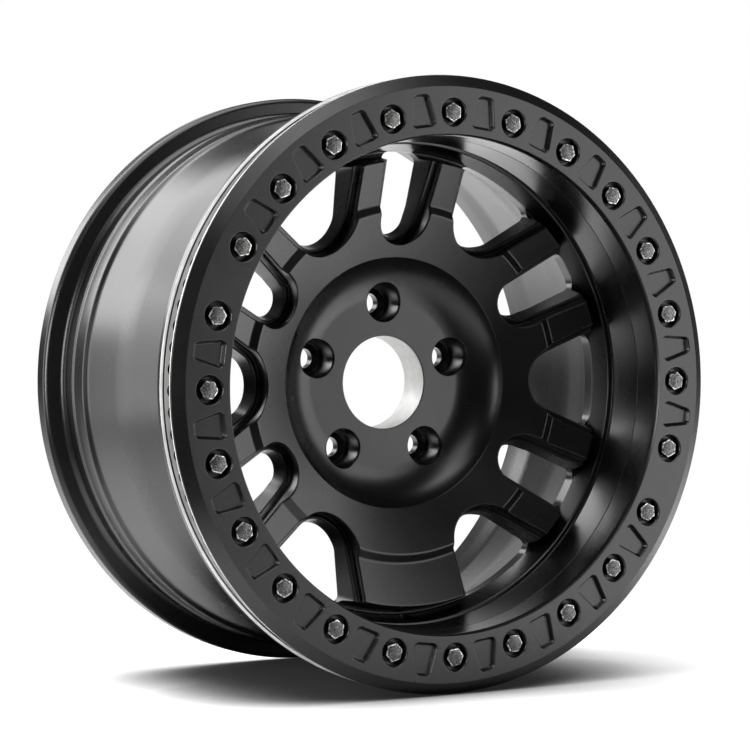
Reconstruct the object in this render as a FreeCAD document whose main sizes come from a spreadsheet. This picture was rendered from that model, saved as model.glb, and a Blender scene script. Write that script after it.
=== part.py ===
import FreeCAD, Part
import Sketcher
import math
import os

# A bolted-ring off-road car wheel, 17 x 9 inches. The wheel axis is Y, the street side faces -Y,
# and the hub mounting face lies in the plane Y = 0. Depths in the sheet run inboard from the ring face.
doc = FreeCAD.newDocument("wheel")
sheet = doc.addObject("Spreadsheet::Sheet", "sizes")

driving = [
    # Along the axle: rim width, offset, ring, hub and spokes.
    ("rim_width", 228.6), ("hub_offset", 12.0), ("ring_thick", 13.5), ("flange_wide", 18.0), ("hub_thick", 30.8),
    ("dish_hollow", 20.4), ("disc_rise", 16.6), ("step_drop", 2.6), ("pad_rise", 14.4), ("ledge_drop", 13.5),
    ("pad_edge", 6.4), ("pad_drop", 21.8), ("sill_drop", 1.8), ("sill_rise", 17.7), ("groove_wide", 6.7),
    ("spoke_thick", 28.0), ("valve_back", 7.8), ("shoulder_back", 10.5), ("shoulder_thick", 6.8),
    # Across the wheel, from the hub outwards.
    ("hub_bore_r", 37.0), ("hub_floor_r", 66.0), ("hub_pad_r", 82.0), ("dish_r", 99.5), ("split_wide", 4.5),
    ("disc_wide", 35.5), ("step_wide", 7.0), ("pad_long", 33.4), ("pad_lean", 0.8), ("pad_foot", 2.6),
    ("window_reach", 5.0), ("sill_wide", 5.1), ("well_wall", 6.1), ("bore_step", 3.7), ("lip_wide", 1.5),
    ("groove_deep", 1.2), ("spigot_thick", 3.7), ("spigot_gap", 0.2), ("spigot_long", 14.5), ("land_wide", 26.7),
    ("bead_tall", 19.4), ("ring_proud", 0.5), ("flange_short", 0.8), ("flange_tall", 17.0),
    # Clamp ring face.
    ("bevel_wide", 8.9), ("ring_bevel", 5.9), ("ring_land", 2.5), ("ring_undercut", 3.9), ("bore_round", 2.4),
    ("pocket_inset", 4.7), ("pocket_long", 24.0), ("pocket_in_wide", 20.7), ("pocket_out_wide", 11.6),
    ("pocket_corner", 3.0), ("pocket_deep", 2.6), ("pocket_draft", 22.0), ("pocket_turn", 15.0),
    ("pocket_run", 11),
    # Ring bolts, washers and their holes.
    ("bolt_inset", 18.0), ("bolt_count", 24), ("bolt_dia", 8.0), ("bolt_long", 30.0), ("thread_gap", 0.1),
    ("thread_spare", 1.9), ("hole_gap", 0.6), ("recess_dia", 19.6), ("recess_rim", 1.5), ("recess_deep", 7.2),
    ("hex_flats", 13.0), ("hex_tall", 5.3), ("washer_dia", 16.0), ("washer_thick", 1.6),
    # Dimples in the shoulder, lug holes, valve hole and spoke windows.
    ("dimple_inset", 8.2), ("dimple_dia", 12.0), ("dimple_deep", 3.5), ("dimple_count", 90),
    ("lug_r", 63.5), ("lug_count", 5), ("lug_dia", 15.5), ("lug_well_dia", 29.0), ("lug_well", 19.0),
    ("lug_seat_dia", 24.4), ("valve_dia", 11.3), ("narrow_margin", 9.9), ("narrow_round", 21.35),
    ("narrow_flare", 5.4), ("wide_margin", 20.0), ("wide_round", 31.9), ("wide_flare", 27.9),
    ("window_corner", 8.0), ("window_pairs", 6), ("ledge_wide", 6.5),
]
derived = [
    ("ring_face", "=ring_thick - ring_thick"),
    ("clamp_deep", "=ring_thick"),
    ("ring_edge", "=ring_bevel + ring_land"),
    ("hub_deep", "=ring_thick + rim_width / 2 + hub_offset"),
    ("flange_deep", "=ring_thick + rim_width"),
    ("rear_deep", "=flange_deep + flange_wide"),
    ("shoulder_deep", "=clamp_deep + shoulder_back"),
    ("shoulder_rear", "=shoulder_deep + shoulder_thick"),
    ("floor_deep", "=hub_deep - hub_thick"),
    ("dish_deep", "=floor_deep - dish_hollow"),
    ("step_deep", "=dish_deep - disc_rise"),
    ("pad_in_deep", "=step_deep + step_drop"),
    ("pad_out_deep", "=pad_in_deep - pad_rise"),
    ("foot_deep", "=pad_out_deep + pad_drop"),
    ("sill_deep", "=foot_deep + sill_drop"),
    ("sill_front_deep", "=sill_deep - sill_rise"),
    ("lip_deep", "=sill_front_deep - groove_wide"),
    ("valve_deep", "=sill_deep - valve_back"),
    ("step_back", "=step_deep + spoke_thick"),
    ("dish_back", "=dish_deep + spoke_thick"),
    ("split_r", "=dish_r + split_wide"),
    ("split_deep", "=dish_deep - disc_rise * split_wide / disc_wide"),
    ("step_r", "=dish_r + disc_wide"),
    ("pad_in_r", "=step_r + step_wide"),
    ("pad_out_r", "=pad_in_r + pad_long"),
    ("ledge_in_deep", "=split_deep + ledge_drop"),
    ("ledge_out_r", "=pad_out_r + pad_lean"),
    ("ledge_out_deep", "=pad_out_deep + pad_edge"),
    ("foot_r", "=pad_out_r + pad_foot"),
    ("window_r", "=foot_r + window_reach"),
    ("sill_r", "=window_r - spigot_gap"),
    ("sill_front_r", "=sill_r + sill_wide"),
    ("well_r", "=sill_front_r + well_wall"),
    ("ring_bore_r", "=well_r - bore_step"),
    ("lip_r", "=ring_bore_r - lip_wide"),
    ("groove_r", "=ring_bore_r + groove_deep"),
    ("spigot_r", "=ring_bore_r + spigot_thick"),
    ("spigot_deep", "=clamp_deep + spigot_long"),
    ("register_bore_r", "=spigot_r + spigot_gap"),
    ("register_deep", "=spigot_deep + 2 * spigot_gap"),
    ("register_r", "=ring_bore_r + land_wide"),
    ("shoulder_r", "=register_r + bead_tall"),
    ("dimple_r", "=register_r + dimple_inset"),
    ("flange_r", "=shoulder_r - flange_short"),
    ("seat_r", "=flange_r - flange_tall"),
    ("ring_r", "=shoulder_r + ring_proud"),
    ("ring_flat_r", "=ring_r - bevel_wide"),
    ("ring_back_r", "=ring_r - ring_undercut"),
    ("pocket_in_r", "=ring_bore_r + pocket_inset"),
    ("pocket_out_r", "=pocket_in_r + pocket_long"),
    ("bolt_r", "=ring_bore_r + bolt_inset"),
    ("dish_round", "=((dish_r - hub_floor_r) ^ 2 + dish_hollow ^ 2) / (2 * dish_hollow)"),
    ("lug_well_deep", "=floor_deep + lug_well"),
    ("lug_cone_deep", "=lug_well_deep + (lug_seat_dia - lug_dia) / 2"),
    ("narrow_end_r", "=dish_r + narrow_margin"),
    ("wide_end_r", "=dish_r + wide_margin"),
    ("narrow_in_r", "=narrow_end_r + ledge_wide"),
    ("narrow_in_round", "=narrow_round - ledge_wide"),
    ("wide_in_r", "=wide_end_r + ledge_wide"),
    ("wide_in_round", "=wide_round - ledge_wide"),
    ("rim_dia", "=recess_dia + 2 * recess_rim"),
    ("hole_dia", "=bolt_dia + hole_gap"),
    ("thread_dia", "=bolt_dia + thread_gap"),
    ("washer_deep", "=recess_deep - washer_thick"),
    ("thread_end", "=washer_deep + bolt_long + thread_spare"),
    ("hex_corner", "=hex_flats / 2 / cos(30 deg)"),
]
for row, (alias, value) in enumerate(driving + derived):
    cell = "B%d" % (row + 1)
    sheet.set("A%d" % (row + 1), alias)
    sheet.set(cell, str(value))
    sheet.setAlias(cell, alias)
doc.recompute()


def size(alias):
    return float(sheet.get(alias))


def new_body(label):
    body = doc.addObject("PartDesign::Body", label)
    body.Label = label
    return body


def new_sketch(body, plane, name, turn=0.0):
    sketch = body.newObject("Sketcher::SketchObject", name)
    origin = [o for o in body.Origin.OriginFeatures if o.Role == plane][0]
    sketch.AttachmentSupport = [(origin, "")]
    sketch.MapMode = "FlatFace"
    sketch.AttachmentOffset = FreeCAD.Placement(
        FreeCAD.Vector(0, 0, 0), FreeCAD.Rotation(FreeCAD.Vector(0, 0, 1), turn))
    return sketch


def value_of(term):
    """A term is an alias, or a pair of an alias and an offset in millimetres."""
    if isinstance(term, tuple):
        return size(term[0]) + term[1]
    return size(term)


def text_of(term):
    if isinstance(term, tuple):
        return "sizes.%s + (%s)" % (term[0], term[1])
    return "sizes.%s" % term


def pin(sketch, kind, geo, point, term):
    index = sketch.addConstraint(Sketcher.Constraint(kind, -1, 1, geo, point, value_of(term)))
    sketch.setExpression("Constraints[%d]" % index, text_of(term))


def set_radius(sketch, geo, term):
    index = sketch.addConstraint(Sketcher.Constraint("Radius", geo, value_of(term)))
    sketch.setExpression("Constraints[%d]" % index, text_of(term))


def section(sketch, rows):
    """A closed outline of (radius, depth) corners; a third entry makes the side that ends there an arc
    of that radius, hollow towards the street side."""
    points = [FreeCAD.Vector(value_of(r[0]), value_of(r[1]), 0) for r in rows]
    ids = []
    for i, row in enumerate(rows):
        a, b = points[i - 1], points[i]
        if len(row) == 3:
            radius = value_of(row[2])
            half = (b - a) * 0.5
            rise = math.sqrt(radius ** 2 - half.Length ** 2)
            across = FreeCAD.Vector(half.y, -half.x, 0).normalize()
            centre = a + half - across * rise
            if centre.y > a.y:
                centre = a + half + across * rise
            middle = centre + (a + half - centre).normalize() * radius
            ids.append(sketch.addGeometry(Part.Arc(a, middle, b)))
        else:
            ids.append(sketch.addGeometry(Part.LineSegment(a, b)))
    ends = []
    for i, row in enumerate(rows):
        start_point = sketch.getPoint(ids[i], 1)
        first_is_start = start_point.distanceToPoint(points[i - 1]) < 1e-6
        ends.append((1, 2) if first_is_start else (2, 1))
    for i, row in enumerate(rows):
        after = (i + 1) % len(rows)
        sketch.addConstraint(Sketcher.Constraint("Coincident", ids[i], ends[i][1], ids[after], ends[after][0]))
        pin(sketch, "DistanceX", ids[i], ends[i][1], row[0])
        pin(sketch, "DistanceY", ids[i], ends[i][1], row[1])
        if len(row) == 3:
            set_radius(sketch, ids[i], row[2])


def revolve(body, name, rows):
    sketch = new_sketch(body, "XY_Plane", name + "_section")
    section(sketch, rows)
    turn = body.newObject("PartDesign::Revolution", name)
    turn.Profile = sketch
    turn.ReferenceAxis = (sketch, ["V_Axis"])
    turn.Angle = 360
    sketch.Visibility = False
    doc.recompute()
    return turn


def polar(body, feature, count, angle=360.0, backwards=False):
    pattern = body.newObject("PartDesign::PolarPattern", feature.Name + "_pattern")
    axis = [o for o in body.Origin.OriginFeatures if o.Role == "Y_Axis"][0]
    pattern.Originals = [feature]
    pattern.Axis = (axis, [""])
    pattern.Angle = angle
    pattern.Reversed = backwards
    pattern.setExpression("Occurrences", "sizes.%s" % count)
    body.Tip = pattern
    doc.recompute()
    return pattern


def turned_hole(body, name, rows, at):
    """A stepped hole along the wheel axis at the top of the wheel, from (depth, diameter) corners."""
    sketch = new_sketch(body, "YZ_Plane", name + "_section")
    centre = value_of(at)
    points = [FreeCAD.Vector(value_of(d), centre + (value_of(r) / 2 if r else 0), 0) for d, r in rows]
    ids = [sketch.addGeometry(Part.LineSegment(points[i - 1], points[i])) for i in range(len(rows))]
    for i, (d, r) in enumerate(rows):
        after = (i + 1) % len(rows)
        sketch.addConstraint(Sketcher.Constraint("Coincident", ids[i], 2, ids[after], 1))
        pin(sketch, "DistanceX", ids[i], 2, d)
        index = sketch.addConstraint(Sketcher.Constraint("DistanceY", -1, 1, ids[i], 2, points[i].y))
        text = text_of(at)
        if r:
            text = text + " + (" + text_of(r) + ") / 2"
        sketch.setExpression("Constraints[%d]" % index, text)
    axis = sketch.addGeometry(Part.LineSegment(
        FreeCAD.Vector(0, centre, 0), FreeCAD.Vector(50, centre, 0)), True)
    sketch.addConstraint(Sketcher.Constraint("Horizontal", axis))
    sketch.addConstraint(Sketcher.Constraint("DistanceX", axis, 1, axis, 2, 50))
    sketch.addConstraint(Sketcher.Constraint("PointOnObject", axis, 1, -2))
    pin(sketch, "DistanceY", axis, 1, at)
    groove = body.newObject("PartDesign::Groove", name)
    groove.Profile = sketch
    groove.ReferenceAxis = (sketch, ["Axis0"])
    groove.Angle = 360
    sketch.Visibility = False
    doc.recompute()
    return groove


def round_pocket(body, name, dia, at, deep):
    """A blind round hole at the top of the wheel, bored inboard from the ring face plane."""
    sketch = new_sketch(body, "XZ_Plane", name + "_circle")
    middle = FreeCAD.Vector(0, size(at), 0)
    geo = sketch.addGeometry(Part.Circle(middle, FreeCAD.Vector(0, 0, 1), value_of(dia) / 2))
    sketch.addConstraint(Sketcher.Constraint("PointOnObject", geo, 3, -2))
    pin(sketch, "DistanceY", geo, 3, at)
    index = sketch.addConstraint(Sketcher.Constraint("Diameter", geo, value_of(dia)))
    sketch.setExpression("Constraints[%d]" % index, text_of(dia))
    pocket = body.newObject("PartDesign::Pocket", name)
    pocket.Profile = sketch
    pocket.Type = 0
    pocket.setExpression("Length", deep)
    sketch.Visibility = False
    doc.recompute()
    return pocket


def chain(sketch, ids):
    """Joins neighbouring lines and arcs end to end and tangent."""
    for i in range(len(ids)):
        a, b = ids[i], ids[(i + 1) % len(ids)]
        best = None
        for p in (1, 2):
            for q in (1, 2):
                gap = sketch.getPoint(a, p).distanceToPoint(sketch.getPoint(b, q))
                if best is None or gap < best[0]:
                    best = (gap, p, q)
        sketch.addConstraint(Sketcher.Constraint("Tangent", a, best[1], b, best[2]))


def slope(sketch, geo, degrees, text):
    index = sketch.addConstraint(Sketcher.Constraint("Angle", geo, math.radians(degrees)))
    sketch.setExpression("Constraints[%d]" % index, "(%s) * 1 deg" % text)


def window(sketch, end, rounding, flare):
    """One spoke window along the sketch's Y axis: a round inner end, flared sides and a curved outer end."""
    r, top, corner = size(rounding), size("window_r"), size("window_corner")
    beta = math.radians(size(flare))
    centre = size(end) + r
    touch = (r * math.cos(beta), centre - r * math.sin(beta))
    tilt = math.tan(beta)
    shift = touch[0] - tilt * touch[1] - corner / math.cos(beta)
    span = 1 + tilt ** 2
    cy = (-tilt * shift + math.sqrt((top - corner) ** 2 * span - shift ** 2)) / span
    cx = shift + tilt * cy
    side = (cx + corner * math.cos(beta), cy - corner * math.sin(beta))
    far = (cx * top / (top - corner), cy * top / (top - corner))
    out = math.atan2(cy, cx)
    bisect = (out - beta) / 2
    bulge = (cx + corner * math.cos(bisect), cy + corner * math.sin(bisect))

    def at(point, mirror=1):
        return FreeCAD.Vector(mirror * point[0], point[1], 0)

    ids = [
        sketch.addGeometry(Part.Arc(at(touch, -1), FreeCAD.Vector(0, centre - r, 0), at(touch))),
        sketch.addGeometry(Part.LineSegment(at(touch), at(side))),
        sketch.addGeometry(Part.Arc(at(side), at(bulge), at(far))),
        sketch.addGeometry(Part.Arc(at(far), FreeCAD.Vector(0, top, 0), at(far, -1))),
        sketch.addGeometry(Part.Arc(at(far, -1), at(bulge, -1), at(side, -1))),
        sketch.addGeometry(Part.LineSegment(at(side, -1), at(touch, -1))),
    ]
    chain(sketch, ids)
    sketch.addConstraint(Sketcher.Constraint("PointOnObject", ids[0], 3, -2))
    set_radius(sketch, ids[0], rounding)
    index = sketch.addConstraint(Sketcher.Constraint("DistanceY", -1, 1, ids[0], 3, centre))
    sketch.setExpression("Constraints[%d]" % index, "sizes.%s + sizes.%s" % (end, rounding))
    sketch.addConstraint(Sketcher.Constraint("Coincident", ids[3], 3, -1, 1))
    set_radius(sketch, ids[3], "window_r")
    set_radius(sketch, ids[2], "window_corner")
    set_radius(sketch, ids[4], "window_corner")
    slope(sketch, ids[1], 90 - size(flare), "90 - sizes.%s" % flare)
    slope(sketch, ids[5], size(flare) - 90, "sizes.%s - 90" % flare)


def cut_windows(body, name, narrow, wide):
    """Twelve windows in six pairs: narrow ones from the top, wide ones half a pitch away."""
    for tag, turn, (end, rounding, flare) in (("narrow", 0.0, narrow), ("wide", 30.0, wide)):
        sketch = new_sketch(body, "XZ_Plane", "%s_%s_outline" % (name, tag), turn)
        window(sketch, end, rounding, flare)
        pocket = body.newObject("PartDesign::Pocket", "%s_%s" % (name, tag))
        pocket.Profile = sketch
        pocket.Type = 0
        pocket.setExpression("Length", "sizes.hub_deep + sizes.hub_thick")
        sketch.Visibility = False
        doc.recompute()
        polar(body, pocket, "window_pairs")


# Wheel casting, lower part: hub, barrel and the rear half of the spokes, down from the ledge in the windows.
lower = new_body("casting_rear")
revolve(lower, "casting_turning", [
    ("hub_bore_r", "floor_deep"), ("hub_floor_r", "floor_deep"), ("dish_r", "dish_deep", "dish_round"),
    ("split_r", "split_deep"), ("split_r", "ledge_in_deep"), ("ledge_out_r", "ledge_out_deep"),
    ("foot_r", "foot_deep"), ("sill_r", "sill_deep"), ("sill_front_r", "sill_front_deep"),
    ("groove_r", ("sill_front_deep", -0.6)), ("groove_r", ("lip_deep", 0.6)), ("lip_r", "lip_deep"),
    ("ring_bore_r", "register_deep"), ("register_bore_r", "register_deep"), ("register_bore_r", "clamp_deep"),
    ("register_r", "clamp_deep"), ("register_r", "shoulder_deep"), (("shoulder_r", -5.4), "shoulder_deep"),
    (("shoulder_r", -0.6), ("shoulder_deep", 2.6)), ("shoulder_r", ("shoulder_deep", 4.0)),
    ("shoulder_r", "shoulder_rear"), (("shoulder_r", -9.0), ("shoulder_rear", 5.7)),
    (("well_r", 11.0), ("shoulder_rear", 19.2)), (("well_r", 2.0), "sill_front_deep"),
    ("well_r", ("sill_deep", 8.0)), (("well_r", 2.5), ("sill_deep", 18.0)),
    (("well_r", 15.5), ("flange_deep", -92.0)), (("seat_r", -1.6), ("flange_deep", -42.0)),
    (("seat_r", 1.4), ("flange_deep", -39.0)), (("seat_r", 1.4), ("flange_deep", -22.0)),
    (("seat_r", 2.8), ("flange_deep", -19.0)), ("seat_r", ("flange_deep", -16.0)),
    (("seat_r", 0.8), ("flange_deep", -3.0)), (("seat_r", 3.6), "flange_deep"),
    (("flange_r", -2.6), ("flange_deep", 1.4)), ("flange_r", ("flange_deep", 4.0)),
    ("flange_r", ("rear_deep", -2.0)), (("flange_r", -2.0), "rear_deep"), (("flange_r", -7.0), "rear_deep"),
    (("flange_r", -9.0), ("rear_deep", -8.0)), (("seat_r", -5.0), ("rear_deep", -13.0)),
    (("seat_r", -6.0), ("flange_deep", -16.0)), (("seat_r", -6.0), ("flange_deep", -36.0)),
    (("well_r", 8.5), ("flange_deep", -92.0)), (("well_r", -4.0), ("sill_deep", 25.0)),
    (("well_r", -7.0), ("sill_deep", 14.0)), ("foot_r", ("foot_deep", 6.0)),
    ("step_r", "step_back"), ("dish_r", "dish_back"), (("hub_pad_r", 6.0), ("hub_deep", -16.0)),
    (("hub_pad_r", 2.0), ("hub_deep", -2.0)), ("hub_pad_r", "hub_deep"), ("hub_bore_r", "hub_deep"),
])
cut_windows(lower, "window_rear", ("narrow_in_r", "narrow_in_round", "narrow_flare"),
            ("wide_in_r", "wide_in_round", "wide_flare"))
lug = turned_hole(lower, "lug_hole", [
    ("dish_deep", None), ("dish_deep", "lug_well_dia"), ("lug_well_deep", "lug_well_dia"),
    ("lug_well_deep", "lug_seat_dia"), ("lug_cone_deep", "lug_dia"), (("hub_deep", 5.0), "lug_dia"),
    (("hub_deep", 5.0), None)], "lug_r")
polar(lower, lug, "lug_count")
thread = round_pocket(lower, "thread_hole", "thread_dia", "bolt_r", "sizes.thread_end")
polar(lower, thread, "bolt_count")
dimple = round_pocket(lower, "bead_dimple", "dimple_dia", "dimple_r", "sizes.shoulder_deep + sizes.dimple_deep")
polar(lower, dimple, "dimple_count")

valve_sketch = new_sketch(lower, "XY_Plane", "valve_circle")
valve_circle = valve_sketch.addGeometry(Part.Circle(
    FreeCAD.Vector(0, size("valve_deep"), 0), FreeCAD.Vector(0, 0, 1), size("valve_dia") / 2))
valve_sketch.addConstraint(Sketcher.Constraint("PointOnObject", valve_circle, 3, -2))
pin(valve_sketch, "DistanceY", valve_circle, 3, "valve_deep")
index = valve_sketch.addConstraint(Sketcher.Constraint("Diameter", valve_circle, size("valve_dia")))
valve_sketch.setExpression("Constraints[%d]" % index, "sizes.valve_dia")
valve = lower.newObject("PartDesign::Pocket", "valve_hole")
valve.Profile = valve_sketch
valve.Type = 0
valve.setExpression("Length", "sizes.well_r + sizes.valve_dia")
valve_sketch.Visibility = False
doc.recompute()

# Wheel casting, upper part: the street-side half of the spokes with the step and the outer pads.
upper = new_body("casting_front")
revolve(upper, "spoke_turning", [
    ("split_r", "split_deep"), ("step_r", "step_deep"), ("pad_in_r", "pad_in_deep"),
    ("pad_out_r", "pad_out_deep"),
    ("ledge_out_r", "ledge_out_deep"), (("ledge_out_r", -1.0), ("ledge_out_deep", 1.5)),
    (("split_r", -1.0), ("ledge_in_deep", 1.5)), (("split_r", -1.0), ("split_deep", 2.0)),
])
cut_windows(upper, "window_front", ("narrow_end_r", "narrow_round", "narrow_flare"),
            ("wide_end_r", "wide_round", "wide_flare"))
casting = doc.addObject("Part::MultiFuse", "wheel_casting")
casting.Shapes = [lower, upper]
casting.Refine = True
doc.recompute()

# Clamp ring: a turned ring with a centring spigot, bolt recesses and shallow pockets between the bolts.
ring = new_body("beadlock_ring")
revolve(ring, "ring_turning", [
    ("ring_bore_r", "bore_round"), (("ring_bore_r", 1.6), "ring_face"), ("ring_flat_r", "ring_face"),
    ("ring_r", "ring_bevel"), ("ring_r", "ring_edge"), ("ring_back_r", "clamp_deep"),
    ("spigot_r", "clamp_deep"), ("spigot_r", "spigot_deep"), ("ring_bore_r", "spigot_deep"),
])
recess = turned_hole(ring, "bolt_recess", [
    (("ring_face", -1.0), None), (("ring_face", -1.0), "rim_dia"), ("ring_face", "rim_dia"),
    ("recess_rim", "recess_dia"), ("recess_deep", "recess_dia"), ("recess_deep", "hole_dia"),
    (("clamp_deep", 1.0), "hole_dia"), (("clamp_deep", 1.0), None)], "bolt_r")
polar(ring, recess, "bolt_count")


def keystone(sketch, sign):
    """One shallow pocket, wide at the bore and narrow outside, with four rounded corners."""
    r = size("pocket_corner")
    low, high = size("pocket_in_r"), size("pocket_out_r")
    lean = math.atan2((size("pocket_in_wide") - size("pocket_out_wide")) / 2, high - low)
    low_trim = r * math.tan(math.radians(45) + lean / 2)
    high_trim = r * math.tan(math.radians(45) - lean / 2)
    low_x, high_x = size("pocket_in_wide") / 2, size("pocket_out_wide") / 2

    def at(x, y):
        return FreeCAD.Vector(sign * x, sign * y, 0)

    def corner(start, tip, centre, finish):
        away = (tip - centre).normalize()
        return Part.Arc(start, centre + away * r, finish)

    up_low = (low_x - low_trim * math.sin(lean), low + low_trim * math.cos(lean))
    up_high = (high_x + high_trim * math.sin(lean), high - high_trim * math.cos(lean))
    low_end = (low_x - low_trim, low)
    high_end = (high_x - high_trim, high)
    ids = []
    ids.append(sketch.addGeometry(Part.LineSegment(at(-low_end[0], low), at(*low_end))))
    ids.append(sketch.addGeometry(corner(at(*low_end), at(low_x, low), at(low_end[0], low + r), at(*up_low))))
    ids.append(sketch.addGeometry(Part.LineSegment(at(*up_low), at(*up_high))))
    ids.append(sketch.addGeometry(corner(at(*up_high), at(high_x, high), at(high_end[0], high - r), at(*high_end))))
    ids.append(sketch.addGeometry(Part.LineSegment(at(*high_end), at(-high_end[0], high))))
    ids.append(sketch.addGeometry(corner(
        at(-high_end[0], high), at(-high_x, high), at(-high_end[0], high - r), at(-up_high[0], up_high[1]))))
    ids.append(sketch.addGeometry(Part.LineSegment(at(-up_high[0], up_high[1]), at(-up_low[0], up_low[1]))))
    ids.append(sketch.addGeometry(corner(
        at(-up_low[0], up_low[1]), at(-low_x, low), at(-low_end[0], low + r), at(-low_end[0], low))))
    chain(sketch, ids)
    for geo, alias in ((ids[0], "pocket_in_r"), (ids[4], "pocket_out_r")):
        index = sketch.addConstraint(Sketcher.Constraint("DistanceY", -1, 1, geo, 1, sign * size(alias)))
        sketch.setExpression("Constraints[%d]" % index, "%d * sizes.%s" % (sign, alias))
    for geo in (ids[1], ids[3], ids[5], ids[7]):
        set_radius(sketch, geo, "pocket_corner")
    sketch.addConstraint(Sketcher.Constraint("Symmetric", ids[0], 1, ids[0], 2, -2))
    sketch.addConstraint(Sketcher.Constraint("Symmetric", ids[4], 1, ids[4], 2, -2))
    widths = ((ids[0], "pocket_in_wide", "45 + %s / 2"), (ids[4], "pocket_out_wide", "45 - %s / 2"))
    for geo, alias, trim in widths:
        lean_text = ("atan((sizes.pocket_in_wide - sizes.pocket_out_wide) / 2"
                     " / (sizes.pocket_out_r - sizes.pocket_in_r))")
        text = "sizes.%s - 2 * sizes.pocket_corner * tan(%s)" % (alias, trim % lean_text)
        text = text.replace("45 +", "45 deg +").replace("45 -", "45 deg -")
        first, last = (1, 2) if (geo == ids[0]) == (sign > 0) else (2, 1)
        length = 2 * (low_end[0] if geo == ids[0] else high_end[0])
        index = sketch.addConstraint(Sketcher.Constraint("DistanceX", geo, first, geo, last, length))
        sketch.setExpression("Constraints[%d]" % index, text)


face_sketch = new_sketch(ring, "XZ_Plane", "face_pocket_outline", 3.5 * size("pocket_turn"))
keystone(face_sketch, 1)
keystone(face_sketch, -1)
face_pocket = ring.newObject("PartDesign::Pocket", "face_pocket")
face_pocket.Profile = face_sketch
face_pocket.Type = 0
face_pocket.setExpression("Length", "sizes.pocket_deep")
face_pocket.setExpression("TaperAngle", "-sizes.pocket_draft")
face_sketch.Visibility = False
doc.recompute()
polar(ring, face_pocket, "pocket_run", size("pocket_turn") * (size("pocket_run") - 1))

# Ring bolts: hexagon heads with a chamfered crown on plain shanks, one form turned around the ring.
hexagon = doc.addObject("Part::Prism", "bolt_hexagon")
hexagon.Polygon = 6
hexagon.setExpression("Circumradius", "sizes.hex_corner")
hexagon.setExpression("Height", "sizes.hex_tall")
crown = doc.addObject("Part::Cone", "bolt_crown")
crown.setExpression("Radius1", "sizes.hex_corner + sizes.hex_tall * tan(60 deg) - 0.9")
crown.setExpression("Radius2", "sizes.hex_corner - 0.9")
crown.setExpression("Height", "sizes.hex_tall")
head = doc.addObject("Part::Common", "bolt_head")
head.Base = hexagon
head.Tool = crown
shank = doc.addObject("Part::Cylinder", "bolt_shank")
shank.setExpression("Radius", "sizes.bolt_dia / 2")
shank.setExpression("Height", "sizes.bolt_long")
shank.setExpression("Placement.Base.z", "-sizes.bolt_long")
bolt = doc.addObject("Part::Fuse", "bolt_form")
bolt.Base = head
bolt.Tool = shank
washer_outer = doc.addObject("Part::Cylinder", "washer_disc")
washer_outer.setExpression("Radius", "sizes.washer_dia / 2")
washer_outer.setExpression("Height", "sizes.washer_thick")
washer_inner = doc.addObject("Part::Cylinder", "washer_eye")
washer_inner.setExpression("Radius", "sizes.hole_dia / 2")
washer_inner.setExpression("Height", "sizes.washer_thick")
washer = doc.addObject("Part::Cut", "washer_form")
washer.Base = washer_outer
washer.Tool = washer_inner
doc.recompute()


def around(label, form, depth, twist):
    """A group of separate copies of one form on the bolt circle, each twisted about its own axis."""
    count = int(size("bolt_count"))
    copies = []
    for i in range(count):
        copy = form.Shape.copy()
        copy.rotate(FreeCAD.Vector(0, 0, 0), FreeCAD.Vector(0, 0, 1), twist * i)
        copy.rotate(FreeCAD.Vector(0, 0, 0), FreeCAD.Vector(1, 0, 0), 90)
        copy.translate(FreeCAD.Vector(0, size(depth), size("bolt_r")))
        copy.rotate(FreeCAD.Vector(0, 0, 0), FreeCAD.Vector(0, 1, 0), 360.0 * i / count)
        copies.append(copy)
    group = doc.addObject("Part::Feature", label)
    group.Shape = Part.makeCompound(copies)
    return group


bolts = around("ring_bolts", bolt, "washer_deep", 23.0)
washers = around("ring_washers", washer, "recess_deep", 0.0)

nodes = [casting, ring, bolts, washers]
for node, label in zip(nodes, ("wheel_casting", "beadlock_ring", "ring_bolts", "ring_washers")):
    node.Label = label
    node.setExpression("Placement.Base.y", "-sizes.hub_deep")
doc.recompute()

for item in doc.Objects:
    if "Invalid" in item.State or "Error" in item.State:
        raise RuntimeError("%s did not build: %s" % (item.Label, item.State))
os.makedirs("parts", exist_ok=True)
for node in nodes:
    if node.Shape.isNull() or not node.Shape.isValid():
        raise RuntimeError("%s has no valid shape" % node.Label)
    box = node.Shape.BoundBox
    print(node.Label, len(node.Shape.Solids), round(node.Shape.Volume), [round(v, 2) for v in (
        box.XMin, box.XMax, box.YMin, box.YMax, box.ZMin, box.ZMax)])
    node.Shape.exportStep("parts/%s.step" % node.Label)
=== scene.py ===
import bpy
import bmesh
import math
from mathutils import Matrix, Vector


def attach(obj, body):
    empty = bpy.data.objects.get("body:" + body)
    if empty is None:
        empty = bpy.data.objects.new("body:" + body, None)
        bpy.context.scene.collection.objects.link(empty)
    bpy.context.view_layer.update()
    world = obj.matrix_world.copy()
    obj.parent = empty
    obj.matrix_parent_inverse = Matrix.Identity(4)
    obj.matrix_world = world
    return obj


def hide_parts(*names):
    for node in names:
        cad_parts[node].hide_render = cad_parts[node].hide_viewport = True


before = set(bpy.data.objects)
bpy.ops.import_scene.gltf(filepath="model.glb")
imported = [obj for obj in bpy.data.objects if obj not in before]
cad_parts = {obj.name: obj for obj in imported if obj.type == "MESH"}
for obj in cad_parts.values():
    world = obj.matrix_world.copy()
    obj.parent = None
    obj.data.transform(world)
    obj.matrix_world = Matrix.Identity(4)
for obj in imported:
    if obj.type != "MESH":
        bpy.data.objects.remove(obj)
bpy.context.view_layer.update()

# Wheel casting: one aluminium casting, powder coated satin black, hub bore and shoulder machined bare.
# It carries the hub, twelve stepped windows between the spokes, the sill, the barrel and the rear flange.
# Sizes are in mm: radius from the wheel axis, depth inboard from the street-side face of the clamp ring.
MM = 0.001
WELD = 1e-7
ROUND_STEPS = 240
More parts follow.
